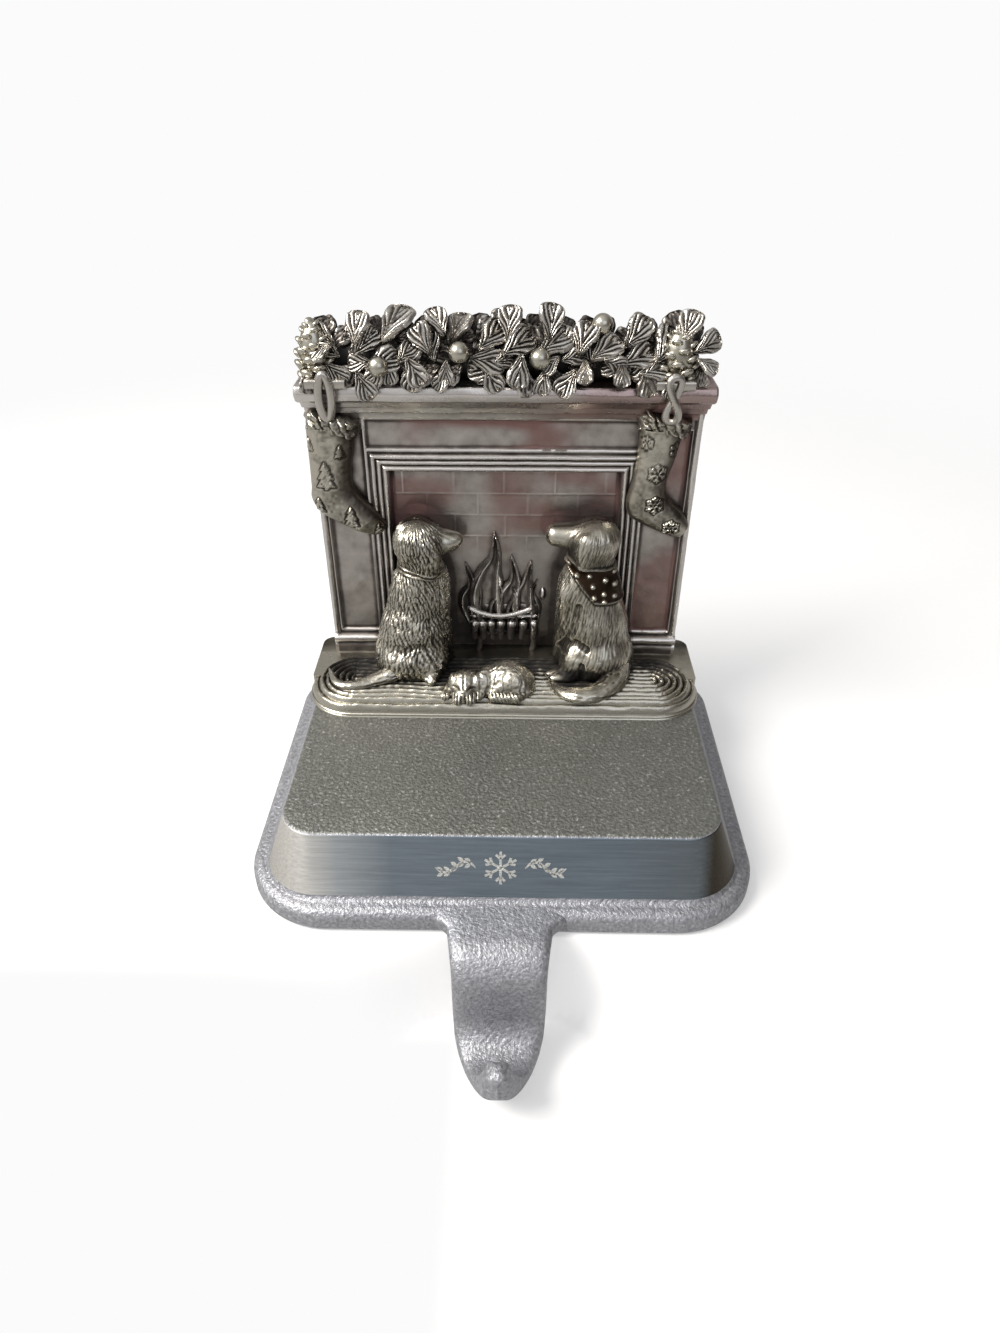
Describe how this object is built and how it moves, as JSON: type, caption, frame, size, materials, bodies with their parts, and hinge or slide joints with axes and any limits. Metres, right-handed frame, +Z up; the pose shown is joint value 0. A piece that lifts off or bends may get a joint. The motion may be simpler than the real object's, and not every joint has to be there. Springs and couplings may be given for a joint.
{
  "type": "mantel stocking holder",
  "caption": "Cast metal mantel stocking holder: a bevelled weighted base with a front hook and a fireplace relief standing at its back.",
  "frame": {"origin": "middle of the underside, on the surface that the holder stands on", "axes": "+Z up, +X to the right seen from the front, -Y towards the room, where the hook hangs"},
  "size_m": [0.112, 0.117, 0.1317],
  "materials": {
    "cast_base": "sand-cast silver grey, the front bevel brushed",
    "pewter_relief": "antiqued pewter, dark in the hollows and bright on the high points",
    "screw_steel": "plain zinc-plated machine screw",
    "pad_felt": "black felt"
  },
  "bodies": {
    "root": {"base_casting": "cast_base", "fireplace_relief": "pewter_relief", "relief_screw_left": "screw_steel", "relief_screw_right": "screw_steel", "underside_pad": "pad_felt"}
  },
  "joints": []
}
